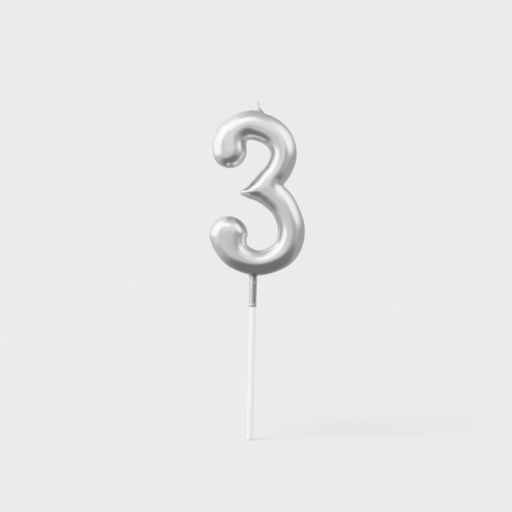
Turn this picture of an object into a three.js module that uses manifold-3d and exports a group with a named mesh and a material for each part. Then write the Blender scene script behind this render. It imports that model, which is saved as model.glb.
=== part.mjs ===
// A birthday candle cast as the numeral 3 on a hollow plastic stick.
//
// Millimetres, +Z up. The origin is the centre of the stick's foot. The numeral stands in the
// XZ plane: its domed front faces -Y and its flat back faces +Y.
//
// Four pieces: the cast wax numeral, the wick cast into it, the stick that the wax is cast
// around, and the silver coat that the numeral and the top of the stick are dipped in.

import * as THREE from 'three';
import { mergeVertices } from 'three/addons/utils/BufferGeometryUtils.js';
import Module from 'manifold-3d';

const wasm = await Module();
wasm.setup();

// ---- Driving dimensions ----

// The numeral's strokes. Each row is a place on the middle line of the stroke and half the
// width of the flat back there: [x, z, half width]. The upper knob is a stroke of its own,
// because its turn into the bowl is tighter than the stroke is wide.
const UPPER_KNOB = [
  [-9.2, 134.8, 8.0],
  [-9.3, 138.4, 8.0],
  [-8.0, 142.3, 7.2],
];
const UPPER_BOWL = [
  [-8.0, 142.3, 7.2],
  [-3.3, 146.1, 6.6],
  [2.3, 146.9, 6.9],
  [12.5, 142.0, 6.5],
  [16.1, 133.8, 6.2],
  [13.4, 125.6, 6.1],
  [8.6, 120.3, 5.9],
  [5.6, 117.3, 5.6],
];
const CUSP = [
  [-3.0, 115.4, 1.5],
  [-0.3, 115.6, 3.15],
  [2.6, 116.2, 4.9],
  [6.0, 117.0, 6.5],
];
const LOWER_BOWL = [
  [6.5, 116.9, 6.35],
  [12.0, 113.4, 6.6],
  [16.4, 108.3, 6.3],
  [19.8, 97.3, 6.3],
  [16.4, 87.5, 6.2],
  [4.5, 82.4, 5.9],
  [-5.8, 86.2, 6.8],
  [-9.2, 92.0, 8.2],
  [-9.7, 95.3, 9.1],
];
const STROKES = [UPPER_KNOB, UPPER_BOWL, CUSP, LOWER_BOWL];

// The section of a stroke: a flat back, a steep wall, and a front that curves over from the
// wall to a level face. The curve is a quarter of an ellipse, which a narrow stroke cuts short.
const BACK_Y = 4.4;
const WALL_DEPTH = 4.8;
const WALL_DRAFT = 0.25;
const CURVE_REACH = 7;
const CURVE_RISE = 6.2;
const CURVE_RINGS = 6;

// How finely a stroke is divided along its length and round its ends.
const STATION_STEP = 2.2;
const END_RIBS = 14;

// The silver coat's thickness, and the gap that keeps it clear of the wax.
const COAT = 0.3;
const GAP = 0.25;

// The stick, which leans a little to the numeral's left at its foot.
const STICK_RADIUS = 1.55;
const STICK_BORE = 0.9;
const STICK_LEAN = THREE.MathUtils.degToRad(1.4);
const STICK_SHOWN = 77;
const STICK_SUNK = 8;
const STICK_SIDES = 32;

// The peg of wax that fills the top of the stick's bore: how far down it reaches, how far up
// it runs into the numeral's wax, and its gap to the bore.
const PEG_LENGTH = 5;
const PEG_ROOT = 0.5;
const BORE_GAP = 0.3;

// The coat's sleeve over the top of the stick, and how far it runs up into the numeral.
const SLEEVE_LENGTH = 15;
const SLEEVE_WALL = 0.2;
const SLEEVE_GAP = 0.15;
const SLEEVE_ROOT = 2;

// The wick, from the tip of its stub down through both bowls.
const WICK_RADIUS = 0.65;
const WICK_SIDES = 10;
const WICK_STEPS = 48;
const WICK_GAP = 0.3;
const WICK_ROUTE = [
  [3.9, 1.2, 158.4],
  [4.8, 0.4, 153.8],
  [7.0, 0, 148.6],
  [12.5, 0, 141.9],
  [16.1, 0, 133.8],
  [13.8, 0, 125.6],
  [12.0, 0, 117.8],
  [16.2, 0, 108.5],
  [19.8, 0, 97.3],
  [16.4, 0, 87.5],
  [8.0, 0, 83.0],
];

// How close two vertices are to be one, and how far a cutting rod runs past what it cuts.
const WELD = 1e-4;
const OVERSHOOT = 1;

// ---- Solids and booleans ----

// A closed three.js geometry as a manifold, with its vertices welded.
function toManifold(geometry) {
  const bare = new THREE.BufferGeometry();
  bare.setAttribute('position', geometry.getAttribute('position'));
  bare.setIndex(geometry.index);
  const welded = mergeVertices(bare, WELD);
  const triVerts = [];
  for (let i = 0; i < welded.index.count; i += 3) {
    const [a, b, c] = [0, 1, 2].map((k) => welded.index.getX(i + k));
    if (a !== b && b !== c && c !== a) triVerts.push(a, b, c);
  }
  return new wasm.Manifold(new wasm.Mesh({
    numProp: 3,
    vertProperties: new Float32Array(welded.getAttribute('position').array),
    triVerts: new Uint32Array(triVerts),
  }));
}

// A manifold as a named three.js mesh.
function toMesh(name, solid, material) {
  const { vertProperties, triVerts } = solid.getMesh();
  const geometry = new THREE.BufferGeometry();
  geometry.setAttribute('position', new THREE.BufferAttribute(vertProperties, 3));
  geometry.setIndex(new THREE.BufferAttribute(triVerts, 1));
  geometry.computeVertexNormals();
  const mesh = new THREE.Mesh(geometry, material);
  mesh.name = name;
  return mesh;
}

// ---- The numeral ----

// Half of a stroke's section, set in from the outside by inset on every face. Each point is
// [distance from the middle line, y], from the middle of the back round to the middle of the
// front.
function halfSection(halfWidth, inset) {
  const backReach = halfWidth - inset;
  const wallY = BACK_Y - WALL_DEPTH;
  const reach = CURVE_REACH - inset;
  const rise = CURVE_RISE - inset;
  const centre = backReach - WALL_DRAFT - reach;
  const lastAngle = Math.acos(Math.max(0, -centre) / reach);
  const section = [[0, BACK_Y - inset], [backReach, BACK_Y - inset]];
  for (let ring = 0; ring < CURVE_RINGS; ring += 1) {
    const angle = (ring / CURVE_RINGS) * lastAngle;
    section.push([centre + reach * Math.cos(angle), wallY - rise * Math.sin(angle)]);
  }
  return [...section, [0, wallY - rise * Math.sin(lastAngle)]];
}

// Places along a stroke, an even step apart on the smooth curve through its rows.
function strokeStations(rows) {
  const points = rows.map(([x, z, halfWidth]) => new THREE.Vector3(x, z, halfWidth));
  const curve = new THREE.CatmullRomCurve3(points);
  const count = Math.round(curve.getLength() / STATION_STEP);
  const stations = [];
  for (let i = 0; i <= count; i += 1) {
    const point = curve.getPointAt(i / count);
    const tangent = curve.getTangentAt(i / count);
    const heading = Math.atan2(tangent.y, tangent.x);
    stations.push({ x: point.x, z: point.y, halfWidth: point.z, heading });
  }
  return stations;
}

// The half sections all the way round a stroke: up its left side, round its far end, back down
// its right side and round its near end. Each is a station and the way that its section faces.
function ribsAround(stations) {
  const quarter = Math.PI / 2;
  const left = stations.map((station) => ({ station, facing: station.heading + quarter }));
  const right = stations.map((station) => ({ station, facing: station.heading - quarter })).reverse();
  const turned = (rib) => Array.from(
    { length: END_RIBS - 1 },
    (_, i) => ({ station: rib.station, facing: rib.facing - ((i + 1) / END_RIBS) * Math.PI }),
  );
  return [...left, ...turned(left.at(-1)), ...right, ...turned(right.at(-1))];
}

// A closed stroke with round ends.
function stroke(rows, inset) {
  const ribs = ribsAround(strokeStations(rows));
  const positions = [];
  const index = [];
  for (const { station, facing } of ribs) {
    for (const [reach, y] of halfSection(station.halfWidth, inset)) {
      positions.push(station.x + reach * Math.cos(facing), y, station.z + reach * Math.sin(facing));
    }
  }
  const perRib = positions.length / 3 / ribs.length;
  for (let rib = 0; rib < ribs.length; rib += 1) {
    const here = rib * perRib;
    const next = ((rib + 1) % ribs.length) * perRib;
    for (let i = 0; i < perRib - 1; i += 1) {
      index.push(here + i, here + i + 1, next + i + 1);
      index.push(here + i, next + i + 1, next + i);
    }
  }
  const geometry = new THREE.BufferGeometry();
  geometry.setAttribute('position', new THREE.Float32BufferAttribute(positions, 3));
  geometry.setIndex(index);
  return toManifold(geometry);
}

function numeral(inset) {
  return STROKES.map((rows) => stroke(rows, inset)).reduce((whole, next) => whole.add(next));
}

// ---- Rods along the stick, and tubes along the wick ----

const stickWay = new THREE.Vector3(Math.sin(STICK_LEAN), 0, Math.cos(STICK_LEAN));

// A round rod on the stick's middle line, between two distances from the foot.
function rodOnStick(radius, from, to) {
  const rod = new THREE.CylinderGeometry(radius, radius, to - from, STICK_SIDES);
  rod.applyQuaternion(new THREE.Quaternion().setFromUnitVectors(new THREE.Vector3(0, 1, 0), stickWay));
  const middle = stickWay.clone().multiplyScalar((from + to) / 2);
  rod.translate(middle.x, middle.y, middle.z);
  return toManifold(rod);
}

const wickRoute = new THREE.CatmullRomCurve3(WICK_ROUTE.map((point) => new THREE.Vector3(...point)));

// A round solid along the wick's route.
function tubeOnWick(radius) {
  const section = new THREE.Shape();
  for (let side = 0; side < WICK_SIDES; side += 1) {
    const turn = (side / WICK_SIDES) * 2 * Math.PI;
    const move = side === 0 ? 'moveTo' : 'lineTo';
    section[move](radius * Math.cos(turn), radius * Math.sin(turn));
  }
  section.closePath();
  return toManifold(new THREE.ExtrudeGeometry(section, { steps: WICK_STEPS, extrudePath: wickRoute }));
}

// ---- The four pieces ----

const stickTop = STICK_SHOWN + STICK_SUNK;

function waxCore() {
  const socket = rodOnStick(STICK_RADIUS + GAP, STICK_SHOWN - STICK_SUNK, stickTop + GAP);
  const pegTop = stickTop + GAP + PEG_ROOT;
  const peg = rodOnStick(STICK_BORE - BORE_GAP, stickTop - PEG_LENGTH, pegTop);
  const wickHole = tubeOnWick(WICK_RADIUS + WICK_GAP);
  return numeral(COAT + GAP).subtract(socket).add(peg).subtract(wickHole);
}

function silverCoat() {
  const foot = STICK_SHOWN - SLEEVE_LENGTH;
  const top = STICK_SHOWN + SLEEVE_ROOT;
  const bore = STICK_RADIUS + SLEEVE_GAP;
  const sleeve = rodOnStick(bore + SLEEVE_WALL, foot, top);
  const passage = rodOnStick(bore, foot - OVERSHOOT, top + OVERSHOOT);
  const wickHole = tubeOnWick(WICK_RADIUS + WICK_GAP);
  return numeral(0).add(sleeve).subtract(numeral(COAT)).subtract(passage).subtract(wickHole);
}

function stick() {
  const bore = rodOnStick(STICK_BORE, -OVERSHOOT, stickTop + OVERSHOOT);
  return rodOnStick(STICK_RADIUS, 0, stickTop).subtract(bore);
}

const white = new THREE.MeshStandardMaterial({ color: 0xf2f1ec, roughness: 0.3, metalness: 0 });
const wax = new THREE.MeshStandardMaterial({ color: 0xe9e4d8, roughness: 0.6, metalness: 0 });
const silver = new THREE.MeshStandardMaterial({ color: 0xc4c6c8, roughness: 0.3, metalness: 0.9 });
const cotton = new THREE.MeshStandardMaterial({ color: 0xf0ebdd, roughness: 0.9, metalness: 0 });

const candle = new THREE.Group();
candle.add(toMesh('wax_core', waxCore(), wax));
candle.add(toMesh('silver_coat', silverCoat(), silver));
candle.add(toMesh('stick', stick(), white));
candle.add(toMesh('wick', tubeOnWick(WICK_RADIUS), cotton));

export default candle;
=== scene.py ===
"""A silver birthday candle cast as the numeral 3, on a white stick, in a plain pale studio.

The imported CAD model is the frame. The silver coat, the stick and the wick are rebuilt here in
finer detail, each in the place that its CAD node holds, and the wax stays as it is packed.
Lengths are in millimetres until a mesh is made, and in metres in Blender.
"""

import math

import bpy
import numpy as np
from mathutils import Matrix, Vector, kdtree, noise


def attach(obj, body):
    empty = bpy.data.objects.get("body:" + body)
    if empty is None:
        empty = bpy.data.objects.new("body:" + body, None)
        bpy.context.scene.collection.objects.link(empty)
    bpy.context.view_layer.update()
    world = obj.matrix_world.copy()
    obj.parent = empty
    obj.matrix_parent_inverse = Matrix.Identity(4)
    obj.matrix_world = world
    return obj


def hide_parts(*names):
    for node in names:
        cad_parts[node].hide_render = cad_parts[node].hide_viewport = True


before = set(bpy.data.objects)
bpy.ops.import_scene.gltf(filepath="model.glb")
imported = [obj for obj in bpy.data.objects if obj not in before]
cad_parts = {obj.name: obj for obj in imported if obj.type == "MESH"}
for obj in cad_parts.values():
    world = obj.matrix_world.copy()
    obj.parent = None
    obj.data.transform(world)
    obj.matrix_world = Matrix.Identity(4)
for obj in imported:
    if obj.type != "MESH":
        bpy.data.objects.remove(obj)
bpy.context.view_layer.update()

MM = 0.001

# ---- The candle's driving dimensions, in millimetres, as the CAD model has them ----

# The numeral's strokes. Each row is a place on the middle line of the stroke and half the
# width of the flat back there: x, z, half width. The upper knob is a stroke of its own,
# because its turn into the bowl is tighter than the stroke is wide.
UPPER_KNOB = (
    (-9.2, 134.8, 8.0),
    (-9.3, 138.4, 8.0),
    (-8.0, 142.3, 7.2),
)
UPPER_BOWL = (
    (-8.0, 142.3, 7.2),
    (-3.3, 146.1, 6.6),
    (2.3, 146.9, 6.9),
    (12.5, 142.0, 6.5),
    (16.1, 133.8, 6.2),
    (13.4, 125.6, 6.1),
    (8.6, 120.3, 5.9),
    (5.6, 117.3, 5.6),
)
CUSP = (
    (-3.0, 115.4, 1.5),
    (-0.3, 115.6, 3.15),
    (2.6, 116.2, 4.9),
    (6.0, 117.0, 6.5),
)
LOWER_BOWL = (
    (6.5, 116.9, 6.35),
    (12.0, 113.4, 6.6),
    (16.4, 108.3, 6.3),
    (19.8, 97.3, 6.3),
    (16.4, 87.5, 6.2),
    (4.5, 82.4, 5.9),
    (-5.8, 86.2, 6.8),
    (-9.2, 92.0, 8.2),
    (-9.7, 95.3, 9.1),
)
STROKES = (UPPER_KNOB, UPPER_BOWL, CUSP, LOWER_BOWL)

BACK_Y = 4.4
FRONT_Y = -6.6
WALL_DRAFT = 0.25
CURVE_REACH = 7.4
CURVE_POWER = 2.6
EDGE_SLOPE = 1.6
CURVE_RISE = EDGE_SLOPE * CURVE_REACH / CURVE_POWER
WALL_Y = FRONT_Y + CURVE_RISE

STICK_RADIUS = 1.55
STICK_BORE = 0.9
STICK_LEAN = math.radians(1.4)
STICK_SHOWN = 77.0
STICK_SUNK = 8.0
SLEEVE_LENGTH = 15.0
SLEEVE_FOOT = STICK_SHOWN - SLEEVE_LENGTH

WICK_RADIUS = 0.65
WICK_ROUTE = (
    (3.9, 1.2, 158.4),
    (4.8, 0.4, 153.8),
    (7.0, 0.0, 148.6),
    (12.5, 0.0, 141.9),
    (16.1, 0.0, 133.8),
    (13.8, 0.0, 125.6),
    (12.0, 0.0, 117.8),
    (16.2, 0.0, 108.5),
    (19.8, 0.0, 97.3),
    (16.4, 0.0, 87.5),
    (8.0, 0.0, 83.0),
)

# ---- Curves and meshes ----


def smooth_curve(rows, step):
    """Points an even step apart on the centripetal Catmull-Rom curve through the rows, and the
    curve's unit tangent at each."""
    rows = np.array(rows, float)
    before = 2 * rows[0] - rows[1]
    after = 2 * rows[-1] - rows[-2]
    padded = np.vstack([before, rows, after])
    fine = []
    for p0, p1, p2, p3 in zip(padded, padded[1:], padded[2:], padded[3:]):
        d0, d1, d2 = (math.sqrt(np.linalg.norm(b - a)) for a, b in ((p0, p1), (p1, p2), (p2, p3)))
        leave = ((p1 - p0) / d0 - (p2 - p0) / (d0 + d1) + (p2 - p1) / d1) * d1
        arrive = ((p2 - p1) / d1 - (p3 - p1) / (d1 + d2) + (p3 - p2) / d2) * d1
        for t in np.linspace(0, 1, 60, endpoint=False):
            bend = 3 * (p2 - p1) - 2 * leave - arrive
            twist = 2 * (p1 - p2) + leave + arrive
            fine.append(p1 + leave * t + bend * t**2 + twist * t**3)
    fine = np.array([*fine, rows[-1]])
    travel = np.concatenate([[0], np.cumsum(np.linalg.norm(np.diff(fine, axis=0), axis=1))])
    count = max(2, round(travel[-1] / step))
    even = np.linspace(0, travel[-1], count + 1)
    points = np.column_stack([np.interp(even, travel, axis) for axis in fine.T])
    tangents = np.gradient(points, axis=0)
    return points, tangents / np.linalg.norm(tangents, axis=1)[:, None]


def mesh_from(name, points, faces):
    """A mesh object from points in millimetres."""
    mesh = bpy.data.meshes.new(name)
    mesh.from_pydata([tuple(point) for point in points], [], faces)
    mesh.validate()
    obj = bpy.data.objects.new(name, mesh)
    bpy.context.collection.objects.link(obj)
    return obj


def around(sides):
    """Angles an even step apart, once round."""
    return [side / sides * 2 * math.pi for side in range(sides)]


def grid_faces(rows, columns, start=0):
    """The quads of a grid of points whose columns close on themselves."""
    faces = []
    for row in range(rows - 1):
        for column in range(columns):
            here = start + row * columns + column
            beside = start + row * columns + (column + 1) % columns
            faces.append((here, beside, beside + columns, here + columns))
    return faces


def rod_faces(rows, sides, start=0):
    """The faces of a closed rod: the quads of its side, and a flat cap at each end."""
    last = start + (rows - 1) * sides
    first_cap = tuple(range(start, start + sides))[::-1]
    last_cap = tuple(range(last, last + sides))
    return [*grid_faces(rows, sides, start), first_cap, last_cap]


# ---- The numeral ----

# How fine the strokes are: the step along them, the rings across half of their front, and the
# ribs round each end. VOXEL is how fine they are once they are melted into one skin.
RIB_STEP = 0.7
RIB_RINGS = 14
END_RIBS = 30
VOXEL = 0.32

# How far the middle of the poured back sinks, and how far in from its edge it is fully sunk.
SINK = 0.2
SINK_REACH = 5.0

# The shallow dent in the top edge: its place in x and z, its size each way, and its depth.
TOP_DENT = (8.0, 152.7)
TOP_DENT_SIZE = (1.9, 2.0)
TOP_DENT_DEPTH = 0.35

# How deep the slow drift and the fine ripple of the cast front are, and the unevenness of the
# poured back, and about how wide the bumps of each are.
DRIFT = 0.07
DRIFT_SIZE = 9
RIPPLE = 0.008
RIPPLE_SIZE = 3
POUR = 0.05
POUR_SIZE = 5

# The coat's thickness, how coarse its hidden inside may be, and its clearance round the stick
# and the wick.
COAT = 0.3
INSIDE_VOXEL = 0.8
CLEARANCE = 0.02

# The silver that ran down the stick: its film's thickness, how thick the bead at its foot is
# and how far up it sits, how ragged the foot is, how far the film swells in lumps and how far
# above the foot they are half grown, and how far the meniscus under the numeral may spread.
FILM = 0.22
BEAD = 0.1
BEAD_RISE = 0.5
RAGGED = 0.35
LUMPS = 0.3
LUMPS_RISE = 8.5
MENISCUS = 2.2

# The silver that climbed the wick: its film at the tip, how much thicker it is at the root,
# the length that it thins over, and how far it reaches down from the route's second point.
COLLAR_FILM = 0.12
COLLAR_ROOT = 0.9
COLLAR_THINNING = 0.5
COLLAR_DEPTH = 2.5


def front_y(inward):
    """The y of the numeral's front at a distance in from its edge: it rises at EDGE_SLOPE and
    levels off over CURVE_REACH."""
    left = 1 - np.minimum(inward / CURVE_REACH, 1)
    return FRONT_Y + CURVE_RISE * left**CURVE_POWER


def back_y(inward):
    """The y of the numeral's poured back, which sank a little as the wax set."""
    done = np.clip(inward / SINK_REACH, 0, 1)
    return BACK_Y - SINK * done**2 * (3 - 2 * done)


def half_section(half_width):
    """Half of a stroke's section, from the middle of the back round to the middle of the front,
    as distances from the middle line and y."""
    edge = half_width - WALL_DRAFT
    inward = np.linspace(0, edge, RIB_RINGS)
    reach = np.concatenate([[0, half_width], edge - inward])
    return reach, np.concatenate([[BACK_Y, BACK_Y], front_y(inward)])


def stroke_solid(rows, points, faces):
    """Adds one closed stroke with round ends to points and faces."""
    stations, tangents = smooth_curve(rows, RIB_STEP)
    headings = np.arctan2(tangents[:, 1], tangents[:, 0])
    quarter = math.pi / 2
    left = [(station, heading + quarter) for station, heading in zip(stations, headings)]
    right = [(station, heading - quarter) for station, heading in zip(stations, headings)][::-1]

    def turned(station, facing):
        return [(station, facing - k / END_RIBS * math.pi) for k in range(1, END_RIBS)]

    ribs = [*left, *turned(*left[-1]), *right, *turned(*right[-1])]
    start = len(points)
    per_rib = RIB_RINGS + 2
    for (x, z, half_width), facing in ribs:
        reach, y = half_section(half_width)
        points.extend(zip(x + reach * math.cos(facing), y, z + reach * math.sin(facing)))
    for rib in range(len(ribs)):
        here = start + rib * per_rib
        beyond = start + (rib + 1) % len(ribs) * per_rib
        for i in range(per_rib - 1):
            faces.append((here + i, here + i + 1, beyond + i + 1, beyond + i))


def stick_point(along, radius, angle):
    """A point at a distance along the stick from its foot, and at a radius and angle round it."""
    out = radius * math.cos(angle)
    x = along * math.sin(STICK_LEAN) + out * math.cos(STICK_LEAN)
    z = along * math.cos(STICK_LEAN) - out * math.sin(STICK_LEAN)
    return x, radius * math.sin(angle), z


def sleeve_radius(along, angle):
    """The outside of the silver that ran down the stick: a thin film with a bead at its lower
    edge, lumps under the numeral and a meniscus where it meets the numeral."""
    up = along - SLEEVE_FOOT
    film = STICK_RADIUS + FILM
    bead = BEAD * math.exp(-(((up - BEAD_RISE) / BEAD_RISE) ** 2))
    lumps = noise.noise(Vector((math.cos(angle) * 1.1, math.sin(angle) * 1.1, along * 0.75)))
    near_top = 1 / (1 + math.exp(-(up - LUMPS_RISE) / 1.2))
    meniscus = 1.5 * math.exp((along - STICK_SHOWN - 0.6) / 0.55)
    return film + bead + LUMPS * near_top * max(lumps, -0.1) + min(meniscus, MENISCUS)


def sleeve_solid(points, faces):
    """Adds the closed rod of silver round the top of the stick."""
    sides = 48
    heights = np.arange(SLEEVE_FOOT, STICK_SHOWN + 1.6, 0.2)
    start = len(points)
    for height in heights:
        fade = max(0, 1 - (height - SLEEVE_FOOT) / 3)
        for angle in around(sides):
            spot = Vector((math.cos(angle) * 1.3, math.sin(angle) * 1.3, 7))
            ragged = RAGGED * noise.noise(spot)
            points.append(stick_point(height + ragged * fade, sleeve_radius(height, angle), angle))
    faces.extend(rod_faces(len(heights), sides, start))


def wick_collar(points, faces):
    """Adds the small cone of silver that climbs the wick where it leaves the numeral."""
    sides = 32
    tip, base = Vector(WICK_ROUTE[0]), Vector(WICK_ROUTE[1])
    way = (tip - base).normalized()
    side_way = way.orthogonal().normalized()
    third = way.cross(side_way)
    start = len(points)
    rises = [0.25 * row - COLLAR_DEPTH for row in range(15)]
    for rise in rises:
        cone = COLLAR_ROOT * math.exp(-max(0, rise + 0.6) / COLLAR_THINNING)
        radius = WICK_RADIUS + COLLAR_FILM + cone
        for angle in around(sides):
            out = radius * (math.cos(angle) * side_way + math.sin(angle) * third)
            points.append(tuple(base + rise * way + out))
    faces.extend(rod_faces(len(rises), sides, start))


def apply_modifiers(obj):
    """Makes the object's mesh the one that its modifiers give."""
    graph = bpy.context.evaluated_depsgraph_get()
    mesh = bpy.data.meshes.new_from_object(obj.evaluated_get(graph))
    obj.modifiers.clear()
    obj.data = mesh


def remesh(obj, voxel):
    """Melts every overlap in the object's mesh into one skin of even quads."""
    melt = obj.modifiers.new("melt", "REMESH")
    melt.mode = "VOXEL"
    melt.voxel_size = voxel
    apply_modifiers(obj)


def points_of(mesh):
    """The mesh's points, one in each row."""
    points = np.empty(len(mesh.vertices) * 3)
    mesh.vertices.foreach_get("co", points)
    return points.reshape(-1, 3)


def normals_of(mesh):
    """The normals at the mesh's points, one in each row."""
    normals = np.empty(len(mesh.vertices) * 3)
    mesh.vertices.foreach_get("normal", normals)
    return normals.reshape(-1, 3)


def put_points(mesh, points):
    """Moves the mesh's points to these."""
    mesh.vertices.foreach_set("co", np.ascontiguousarray(points).ravel())
    mesh.update()


def relax(mesh, rounds, share=None):
    """Evens out a mesh by moving each point towards the middle of its neighbours, by a share
    from 0 to 1 that may differ from point to point."""
    points = points_of(mesh)
    count = len(points)
    ends = np.empty(len(mesh.edges) * 2, int)
    mesh.edges.foreach_get("vertices", ends)
    a, b = ends.reshape(-1, 2).T
    degree = np.bincount(a, minlength=count) + np.bincount(b, minlength=count)
    amount = 0.5 if share is None else 0.5 * share[:, None]
    for _ in range(rounds):
        total = np.column_stack([
            np.bincount(a, points[b, axis], count) + np.bincount(b, points[a, axis], count)
            for axis in range(3)
        ])
        points = points + amount * (total / degree[:, None] - points)
    put_points(mesh, points)


def wave(points, size, seed):
    """Smooth noise from -1 to 1 with bumps of about the given size."""
    return np.array([noise.noise(Vector(p) / size + Vector((seed, 2 * seed, 0))) for p in points])


def distance_to(points, outline):
    """How far each (x, z) is from the nearest point of the outline."""
    finder = kdtree.KDTree(len(outline))
    for i, (x, z) in enumerate(outline):
        finder.insert((x, z, 0), i)
    finder.balance()
    return np.array([finder.find((x, z, 0))[2] for x, z in points])


def shape_faces(mesh):
    """Puts the front and the back of the numeral on curves that start from the nearest edge, so
    that they are level in the middle and the front has a valley at each inner corner."""
    points = points_of(mesh)
    normals = normals_of(mesh)
    upright = np.abs(normals[:, 1]) < 0.3
    on_wall = upright & (points[:, 1] > WALL_Y + 1) & (points[:, 1] < BACK_Y - 1)
    outline = points[on_wall][:, (0, 2)]
    front = points[:, 1] < WALL_Y
    points[front, 1] = front_y(distance_to(points[front][:, (0, 2)], outline) - WALL_DRAFT / 2)
    back = (normals[:, 1] > 0.9) & (points[:, 1] > BACK_Y - 0.3)
    points[back, 1] = back_y(distance_to(points[back][:, (0, 2)], outline))
    put_points(mesh, points)


def press_dent(mesh):
    """Presses the shallow dent into the numeral's top edge."""
    points = points_of(mesh)
    away = (points[:, (0, 2)] - TOP_DENT) / TOP_DENT_SIZE
    depth = TOP_DENT_DEPTH * np.exp(-(away**2).sum(axis=1))
    put_points(mesh, points - normals_of(mesh) * depth[:, None])


def make_numeral():
    """The numeral's outside, with its strokes melted together."""
    points, faces = [], []
    for rows in STROKES:
        stroke_solid(rows, points, faces)
    numeral = mesh_from("numeral", points, faces)
    remesh(numeral, VOXEL)
    relax(numeral.data, 6)
    shape_faces(numeral.data)
    relax(numeral.data, 6)
    press_dent(numeral.data)
    return numeral


def make_inside(numeral):
    """The space inside the coat: the numeral, smaller by the coat's thickness."""
    points = points_of(numeral.data) - COAT * normals_of(numeral.data)
    inside = mesh_from("inside", points, [tuple(face.vertices) for face in numeral.data.polygons])
    remesh(inside, INSIDE_VOXEL)
    return inside


def cut_out(obj, tool):
    """Cuts a closed tool out of the object, and removes the tool."""
    trim = obj.modifiers.new("trim", "BOOLEAN")
    trim.operation = "DIFFERENCE"
    trim.solver = "MANIFOLD"
    trim.object = tool
    apply_modifiers(obj)
    bpy.data.objects.remove(tool)


def make_stick_hole():
    """A closed rod in place of the stick, past both ends of the sleeve."""
    sides = 48
    radius = STICK_RADIUS + CLEARANCE
    ends = (SLEEVE_FOOT - 2, STICK_SHOWN + 2.5)
    points = [stick_point(end, radius, angle) for end in ends for angle in around(sides)]
    return mesh_from("stick_hole", points, rod_faces(2, sides))


def make_wick_hole():
    """A closed rod in place of the wick, from past its tip to inside the numeral."""
    route, _ = smooth_curve(WICK_ROUTE, 0.25)
    first = route[0] + 4 * (route[0] - route[1])
    centres = np.vstack([first, route[:44]])
    points, faces = [], []
    add_strand(centres, [WICK_RADIUS + CLEARANCE] * len(centres), points, faces, sides=24)
    return mesh_from("wick_hole", points, faces)


def make_uneven(mesh):
    """Gives the cast front its drift and ripple and the poured back its unevenness, and leaves
    the sleeve on the stick as it is."""
    points = points_of(mesh)
    front = np.clip((BACK_Y - 0.6 - points[:, 1]) / 2, 0, 1)
    body = np.clip((points[:, 2] - STICK_SHOWN + 1) / 2, 0, 1)
    drift = DRIFT * wave(points, DRIFT_SIZE, seed=1) + RIPPLE * wave(points, RIPPLE_SIZE, seed=5)
    pour = POUR * wave(points, POUR_SIZE, seed=9) * (1 - front)
    put_points(mesh, points + normals_of(mesh) * ((drift * front + pour) * body)[:, None])


def make_coat():
    """The silver coat, a shell with the numeral, the sleeve on the stick and the collar on the
    wick in one skin."""
    numeral = make_numeral()
    inside = make_inside(numeral)
    points = [tuple(point) for point in points_of(numeral.data)]
    faces = [tuple(face.vertices) for face in numeral.data.polygons]
    bpy.data.objects.remove(numeral)
    sleeve_solid(points, faces)
    wick_collar(points, faces)
    coat = mesh_from("silver_skin", points, faces)
    remesh(coat, VOXEL)
    on_stick = points_of(coat.data)[:, 2] < STICK_SHOWN - 3
    relax(coat.data, 10, np.where(on_stick, 0.25, 1.0))
    make_uneven(coat.data)
    for tool in (inside, make_stick_hole(), make_wick_hole()):
        cut_out(coat, tool)
    return coat


# ---- The stick ----

# The burr at the cut foot, how far up it runs, and how far the outer and inner corners of the
# cut are broken. DRAWN is how uneven the drawn tube is.
BURR = 0.05
BURR_RISE = 0.25
OUTER_CORNER = 0.06
INNER_CORNER = 0.05
DRAWN = 0.008


def make_stick():
    """A drawn plastic tube with a square-cut foot that has a slight burr."""
    sides = 72
    length = STICK_SHOWN + STICK_SUNK
    near_foot = [0, 0.04, 0.12, 0.25, 0.5, 1]
    heights = [*near_foot, *np.linspace(3, length - 1, 40), length - 0.1, length]
    points = []
    for height in heights:
        burr = BURR * math.exp(-height / BURR_RISE) - OUTER_CORNER * (height == 0)
        for angle in around(sides):
            spot = Vector((math.cos(angle) * 3, math.sin(angle) * 3, height / 60))
            drawn = DRAWN * noise.noise(spot)
            points.append(stick_point(height, STICK_RADIUS + burr + drawn, angle))
    for height in reversed(heights):
        flare = INNER_CORNER * (height == 0)
        points.extend(stick_point(height, STICK_BORE + flare, angle) for angle in around(sides))
    rows = 2 * len(heights)
    faces = grid_faces(rows, sides)
    last = (rows - 1) * sides
    faces += [(last + s, last + (s + 1) % sides, (s + 1) % sides, s) for s in range(sides)]
    return mesh_from("white_stick", points, faces)


# ---- The wick ----

# The braid: how many strands run each way, their thickness, the radius that they run at, how
# far they weave in and out of it, and the length of one turn.
STRANDS_EACH_WAY = 4
STRAND_RADIUS = 0.18
BRAID_RADIUS = 0.4
BRAID_WEAVE = 0.08
BRAID_LAY = 3.4
BRAID_STEP = 0.12

# The loose tip: how far the strands splay and over what length, how far back they are cut on
# average, how thick a cut end is as a share of its strand, and the length in which that share
# grows by one.
SPLAY = 0.35
SPLAY_LENGTH = 0.5
TIP_CUT = 0.25
TIP_SHARE = 0.35
TIP_TAPER = 0.35


def path_frames(path, tangents):
    """Two directions square to the path at each point, turned as little as possible."""
    first = Vector(tangents[0]).orthogonal().normalized()
    frames = []
    for tangent in tangents:
        way = Vector(tangent)
        first = (first - first.dot(way) * way).normalized()
        frames.append((np.array(first), np.array(way.cross(first))))
    return frames


def add_strand(centres, radii, points, faces, sides=8):
    """Adds a closed round strand through the centres."""
    tangents = np.gradient(centres, axis=0)
    tangents /= np.linalg.norm(tangents, axis=1)[:, None]
    start = len(points)
    for centre, radius, (one, two) in zip(centres, radii, path_frames(centres, tangents)):
        for angle in around(sides):
            points.append(tuple(centre + radius * (math.cos(angle) * one + math.sin(angle) * two)))
    faces.extend(rod_faces(len(centres), sides, start))


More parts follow.
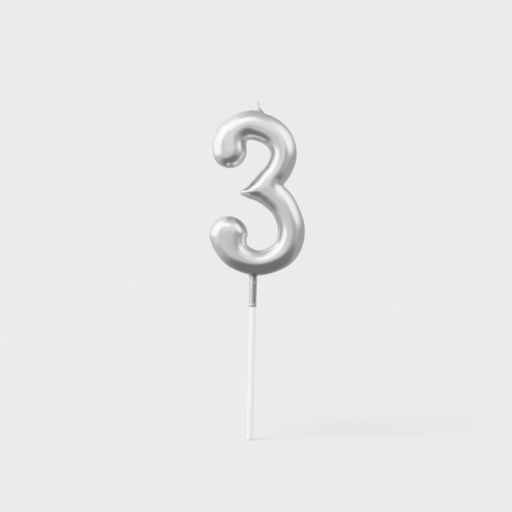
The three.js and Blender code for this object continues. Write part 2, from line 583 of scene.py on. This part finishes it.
def make_wick():
    """A round braid of eight strands, with loose ends at its tip."""
    route, tangents = smooth_curve(WICK_ROUTE, BRAID_STEP)
    frames = path_frames(route, tangents)
    points, faces = [], []
    along = np.arange(len(route)) * BRAID_STEP
    turn = 2 * math.pi * along / BRAID_LAY
    splay = SPLAY * np.exp(-along / SPLAY_LENGTH)
    for way in (1, -1):
        reach = BRAID_RADIUS + splay + way * BRAID_WEAVE * np.cos(STRANDS_EACH_WAY * turn)
        for carrier in range(STRANDS_EACH_WAY):
            angles = way * turn + carrier / STRANDS_EACH_WAY * 2 * math.pi
            cut = TIP_CUT + TIP_CUT * noise.noise(Vector((carrier * 2.3, way, 4)))
            shown = along >= cut
            centres = np.array([
                point + r * (math.cos(t) * one + math.sin(t) * two)
                for point, r, t, (one, two) in zip(route, reach, angles, frames)
            ])[shown]
            taper = np.clip(TIP_SHARE + (along[shown] - along[shown][0]) / TIP_TAPER, 0, 1)
            add_strand(centres, STRAND_RADIUS * taper, points, faces)
    return mesh_from("braided_wick", points, faces)


# ---- Materials ----


class Nodes:
    """Makes the nodes of one material or world. Each input is a value, or a socket to link."""

    def __init__(self, tree):
        self.tree = tree
        tree.nodes.clear()

    def add(self, kind, inputs=None, **settings):
        node = self.tree.nodes.new(kind)
        for key, value in settings.items():
            setattr(node, key, value)
        for key, value in (inputs or {}).items():
            if isinstance(value, bpy.types.NodeSocket):
                self.tree.links.new(value, node.inputs[key])
            else:
                node.inputs[key].default_value = value
        return node

    def noise(self, vector, scale, detail):
        made = self.add("ShaderNodeTexNoise", {"Vector": vector, "Scale": scale, "Detail": detail})
        return made.outputs["Fac"]

    def spread(self, value, low, high):
        """The value from 0 to 1 spread from low to high."""
        made = self.add("ShaderNodeMapRange", {"Value": value, "To Min": low, "To Max": high})
        return made.outputs["Result"]

    def ramp(self, value, start, end):
        """From 0 where the value is start to 1 where it is end, and level beyond."""
        made = self.add("ShaderNodeMapRange", {"Value": value, "From Min": start, "From Max": end})
        return made.outputs["Result"]

    def maths(self, operation, one, two):
        return self.add("ShaderNodeMath", {0: one, 1: two}, operation=operation).outputs[0]

    def bump(self, height, distance, below=None):
        """A relief of the height at a distance in metres, over the relief below it."""
        inputs = {"Height": height, "Distance": distance, "Strength": 1.0}
        if below is not None:
            inputs["Normal"] = below
        return self.add("ShaderNodeBump", inputs).outputs["Normal"]

    def blend(self, amount, low, high):
        """The low colour where the amount is 0, and the high colour where it is 1."""
        made = self.add("ShaderNodeMix", {0: amount, 6: low, 7: high}, data_type="RGBA")
        return made.outputs[2]


def new_material(name):
    material = bpy.data.materials.new(name)
    material.use_nodes = True
    return material, Nodes(material.node_tree)


def finish_material(nodes, constants, **linked):
    """Ends a material with a principled shader that takes the constants and linked sockets."""
    shader = nodes.add("ShaderNodeBsdfPrincipled", constants)
    for key, value in linked.items():
        nodes.tree.links.new(value, shader.inputs[key.replace("_", " ")])
    nodes.add("ShaderNodeOutputMaterial", {"Surface": shader.outputs["BSDF"]})


# The painted reflection down the front of the sleeve: a dark streak painted into the silver's
# colour, standing in for a dark reflection. How far to the right of the stick's middle it runs,
# half its width, how high up its foot and its top are, and half the softness of its sides, foot
# and top.
STREAK_OFFSET = 0.5
STREAK_HALF_WIDTH = 0.7
STREAK_FOOT = 63.8
STREAK_TOP = 77.0
SOFT_SIDE = 0.2
SOFT_FOOT = 0.6
SOFT_TOP = 0.8


def painted_reflection_streak(nodes, place):
    """How much of the dark streak of painted reflection on the front of the sleeve is at a place.
    """
    split = nodes.add("ShaderNodeSeparateXYZ", {"Vector": place}).outputs
    lean = nodes.maths("MULTIPLY", split["Z"], math.tan(STICK_LEAN))
    across = nodes.maths("SUBTRACT", nodes.maths("SUBTRACT", split["X"], lean), STREAK_OFFSET * MM)
    aside = nodes.maths("ABSOLUTE", across, 0)
    outer, inner = STREAK_HALF_WIDTH + SOFT_SIDE, STREAK_HALF_WIDTH - SOFT_SIDE
    beside = nodes.ramp(aside, outer * MM, inner * MM)
    above = nodes.ramp(split["Z"], (STREAK_FOOT - SOFT_FOOT) * MM, (STREAK_FOOT + SOFT_FOOT) * MM)
    under = nodes.ramp(split["Z"], (STREAK_TOP + SOFT_TOP) * MM, (STREAK_TOP - SOFT_TOP) * MM)
    ahead = nodes.ramp(split["Y"], SOFT_SIDE * MM, -SOFT_SIDE * MM)
    length = nodes.maths("MULTIPLY", above, under)
    return nodes.maths("MULTIPLY", nodes.maths("MULTIPLY", beside, ahead), length)


def silver_lacquer():
    """Aluminium-flake lacquer over wax: soft reflections with a faint orange peel, flakes, a dark
    streak of painted reflection down the front of the sleeve, and a duller back with small pits."""
    material, nodes = new_material("silver_lacquer")
    place = nodes.add("ShaderNodeTexCoord").outputs["Object"]
    depth = nodes.add("ShaderNodeSeparateXYZ", {"Vector": place}).outputs["Y"]
    back = nodes.ramp(depth, (BACK_Y - 0.8) * MM, (BACK_Y - 0.4) * MM)
    cloud = nodes.noise(place, 160, 3)
    flakes = nodes.noise(place, 9000, 1)
    peel = nodes.noise(place, 700, 2)
    film = nodes.blend(cloud, (0.84, 0.84, 0.845, 1), (0.90, 0.90, 0.90, 1))
    # Painted reflection: the silver is made darker in a streak on the front of the sleeve, standing
    # in for a dark reflection.
    colour = nodes.blend(painted_reflection_streak(nodes, place), film, (0.55, 0.55, 0.56, 1))
    front_rough = nodes.spread(cloud, 0.18, 0.26)
    rough = nodes.maths("ADD", front_rough, nodes.maths("MULTIPLY", back, 0.16))
    spots = nodes.add("ShaderNodeTexVoronoi", {"Vector": place, "Scale": 420.0}).outputs["Distance"]
    pits = nodes.maths("MULTIPLY", nodes.ramp(spots, 0.05, 0.22), back)
    swirl = nodes.maths("MULTIPLY", nodes.noise(place, 300, 4), back)
    poured = nodes.bump(swirl, 0.1 * MM, nodes.bump(pits, 0.08 * MM))
    relief = nodes.bump(flakes, 0.004 * MM, nodes.bump(peel, 0.02 * MM, poured))
    finish_material(nodes, {"Metallic": 1.0}, Base_Color=colour, Roughness=rough, Normal=relief)
    return material


def white_plastic():
    """Milky polypropylene, drawn into a tube, with faint lines along it."""
    material, nodes = new_material("white_plastic")
    place = nodes.add("ShaderNodeTexCoord").outputs["Object"]
    stretch = nodes.add("ShaderNodeMapping", {"Vector": place, "Scale": (1, 1, 0.02)})
    lines = nodes.noise(stretch.outputs["Vector"], 2500, 2)
    cloud = nodes.noise(place, 120, 2)
    colour = nodes.blend(cloud, (0.93, 0.93, 0.92, 1), (0.96, 0.96, 0.955, 1))
    rough = nodes.spread(lines, 0.28, 0.4)
    constants = {
        "Subsurface Weight": 0.25,
        "Subsurface Radius": (1.0, 0.95, 0.9),
        "Subsurface Scale": 0.8 * MM,
        "IOR": 1.49,
    }
    relief = nodes.bump(lines, 0.006 * MM)
    finish_material(nodes, constants, Base_Color=colour, Roughness=rough, Normal=relief)
    return material


def cotton():
    """Bleached cotton wetted with wax."""
    material, nodes = new_material("cotton")
    place = nodes.add("ShaderNodeTexCoord").outputs["Object"]
    fibres = nodes.noise(place, 12000, 3)
    colour = nodes.blend(fibres, (0.80, 0.77, 0.70, 1), (0.93, 0.91, 0.86, 1))
    rough = nodes.spread(fibres, 0.6, 0.85)
    relief = nodes.bump(fibres, 0.02 * MM)
    finish_material(nodes, {"Sheen Weight": 0.3}, Base_Color=colour, Roughness=rough, Normal=relief)
    return material


def paraffin():
    """Cast white wax."""
    material, nodes = new_material("paraffin")
    place = nodes.add("ShaderNodeTexCoord").outputs["Object"]
    cloud = nodes.noise(place, 200, 3)
    colour = nodes.blend(cloud, (0.84, 0.81, 0.74, 1), (0.90, 0.88, 0.82, 1))
    rough = nodes.spread(cloud, 0.4, 0.6)
    constants = {
        "Subsurface Weight": 0.4,
        "Subsurface Radius": (1.0, 0.8, 0.6),
        "Subsurface Scale": 3 * MM,
    }
    relief = nodes.bump(cloud, 0.03 * MM)
    finish_material(nodes, constants, Base_Color=colour, Roughness=rough, Normal=relief)
    return material


def dress(obj, material):
    """Gives the whole object one material and smooth shading."""
    obj.data.materials.clear()
    obj.data.materials.append(material)
    obj.data.shade_smooth()


# ---- The studio ----

# The camera's place in millimetres, to the right of the stick's foot, above it and in front of
# it, and the width that its picture takes in at the candle.
CAMERA_SIDE = 3.1
CAMERA_HEIGHT = 85.7
CAMERA_DISTANCE = 700.0
VIEW_WIDTH = 239.1

# The floor's radius in metres, the gap under the stick's foot in millimetres, the greys of the
# floor and the backdrop, and the strengths of the even light and of the soft light.
FLOOR_RADIUS = 5.0
FLOOR_GAP = 0.1
FLOOR_PAPER = 0.844
BACKDROP = 0.83
SKY = 0.8
SUN = 0.8

# The tent of light: its radius and the height of its middle in metres, its even grey, and the
# patches laid over that, the later over the earlier. A patch is its azimuth from the camera
# towards the right, its elevation, its radius and half the width of its soft edge, all in
# degrees, and its brightness.
TENT_RADIUS = 0.25
TENT_HEIGHT = 0.115
TENT_BASE = 0.56
TENT_PATCHES = (
    (180, 25, 52, 18, 0.42),
    (-36, -10, 28, 12, 0.65),
    (0, -90, 49, 13, 0.3),
    (98, -12, 31, 13, 0.38),
    (38, -4, 20, 12, 0.45),
    (40, -53, 35, 9, 0.21),
    (0, -78, 34, 10, 0.18),
    (0, 36, 32, 9, 0.8),
    (-118, 32, 38, 16, 0.85),
    (-80, 14, 29, 12, 1.06),
    (-68, 42, 25, 10, 1.12),
    (-14, 51, 16, 9, 1.1),
    (70, 33, 26, 12, 1.0),
)


def make_camera():
    """A camera that looks straight at the front."""
    data = bpy.data.cameras.new("camera")
    camera = bpy.data.objects.new("camera", data)
    bpy.context.collection.objects.link(camera)
    camera.location = Vector((CAMERA_SIDE, -CAMERA_DISTANCE, CAMERA_HEIGHT)) * MM
    camera.rotation_euler = (math.pi / 2, 0, 0)
    data.lens = data.sensor_width * CAMERA_DISTANCE / VIEW_WIDTH
    data.clip_start, data.clip_end = 0.01, 30
    bpy.context.scene.camera = camera


def flat_material(name, grey, glow):
    """A plain grey that glows, or that is only lit."""
    material, nodes = new_material(name)
    shader = "ShaderNodeEmission" if glow else "ShaderNodeBsdfDiffuse"
    made = nodes.add(shader, {"Color": (grey, grey, grey, 1)})
    nodes.add("ShaderNodeOutputMaterial", {"Surface": made.outputs[0]})
    return material


def soft_patch(nodes, way, below, azimuth, elevation, radius, edge, brightness):
    """Lays a round patch of light with a soft edge over the light below it. Azimuth runs to the
    right from the camera's side; all angles are in degrees."""
    turn, rise = math.radians(azimuth), math.radians(elevation)
    aim = (math.cos(rise) * math.sin(turn), -math.cos(rise) * math.cos(turn), math.sin(rise))
    facing = nodes.add("ShaderNodeVectorMath", {0: way, 1: aim}, operation="DOT_PRODUCT")
    amount = nodes.add("ShaderNodeMapRange", {
        "Value": facing.outputs["Value"],
        "From Min": math.cos(math.radians(radius + edge)),
        "From Max": math.cos(math.radians(radius - edge)),
    }, interpolation_type="SMOOTHSTEP")
    laid = nodes.add("ShaderNodeMix", {0: amount.outputs["Result"], 2: below, 3: brightness})
    return laid.outputs[0]


def tent_light():
    """The glow of the tent, as seen from its middle: an even grey with the patches over it."""
    material, nodes = new_material("tent_light")
    place = nodes.add("ShaderNodeTexCoord").outputs["Object"]
    way = nodes.add("ShaderNodeVectorMath", {0: place}, operation="NORMALIZE").outputs["Vector"]
    light = TENT_BASE
    for patch in TENT_PATCHES:
        light = soft_patch(nodes, way, light, *patch)
    made = nodes.add("ShaderNodeEmission", {"Color": (1, 1, 1, 1), "Strength": light})
    nodes.add("ShaderNodeOutputMaterial", {"Surface": made.outputs[0]})
    return material


def show_only_to(obj, *rays):
    """Hides the object from every kind of ray but these."""
    for ray in ("camera", "diffuse", "glossy", "transmission", "volume_scatter", "shadow"):
        setattr(obj, f"visible_{ray}", ray in rays)


def make_sphere(name, radius, height, material):
    """A sphere round the candle, as part of the stage, in metres."""
    bpy.ops.mesh.primitive_uv_sphere_add(segments=96, ring_count=48, radius=radius)
    ball = bpy.context.object
    ball.name = name
    ball.location.z = height
    ball.data.materials.append(material)
    return ball


def make_stage():
    """A pale floor and backdrop, and a tent of soft light that only the silver's shine sees."""
    bpy.ops.mesh.primitive_circle_add(vertices=96, radius=FLOOR_RADIUS, fill_type="NGON")
    floor = bpy.context.object
    floor.name = "floor"
    floor.location.z = -FLOOR_GAP * MM
    floor.data.materials.append(flat_material("floor_paper", FLOOR_PAPER, glow=False))
    floor.visible_glossy = False
    backdrop_paper = flat_material("backdrop_paper", BACKDROP, glow=True)
    backdrop = make_sphere("backdrop", FLOOR_RADIUS + 1, 0, backdrop_paper)
    show_only_to(backdrop, "camera")
    tent = make_sphere("light_tent", TENT_RADIUS, TENT_HEIGHT, tent_light())
    show_only_to(tent, "glossy")


def make_world():
    """Even white light from all round."""
    world = bpy.data.worlds.new("studio")
    bpy.context.scene.world = world
    world.use_nodes = True
    nodes = Nodes(world.node_tree)
    sky = nodes.add("ShaderNodeBackground", {"Color": (1, 1, 1, 1), "Strength": SKY})
    nodes.add("ShaderNodeOutputWorld", {"Surface": sky.outputs[0]})


def make_lights():
    """One broad soft light from the upper left front, for the floor and the white stick."""
    data = bpy.data.lights.new("soft_light", "SUN")
    data.energy = SUN
    data.angle = math.radians(40)
    light = bpy.data.objects.new("soft_light", data)
    bpy.context.collection.objects.link(light)
    light.rotation_euler = Vector((-0.7, -0.55, 1.0)).to_track_quat("Z", "Y").to_euler()
    light.location = (-0.4, -0.5, 1)
    light.visible_glossy = False


# ---- The scene ----


def put_in_place(piece, node, material):
    """Scales a piece to metres, dresses it, and puts it in the place of its CAD node."""
    put_points(piece.data, points_of(piece.data) * MM)
    dress(piece, material)
    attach(piece, "root")
    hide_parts(node)


make_camera()
make_stage()
make_world()
make_lights()
bpy.context.scene.view_settings.view_transform = "Standard"

put_in_place(make_coat(), "silver_coat", silver_lacquer())
put_in_place(make_stick(), "stick", white_plastic())
put_in_place(make_wick(), "wick", cotton())
wax_material = paraffin()
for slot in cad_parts["wax_core"].material_slots:
    slot.material = wax_material
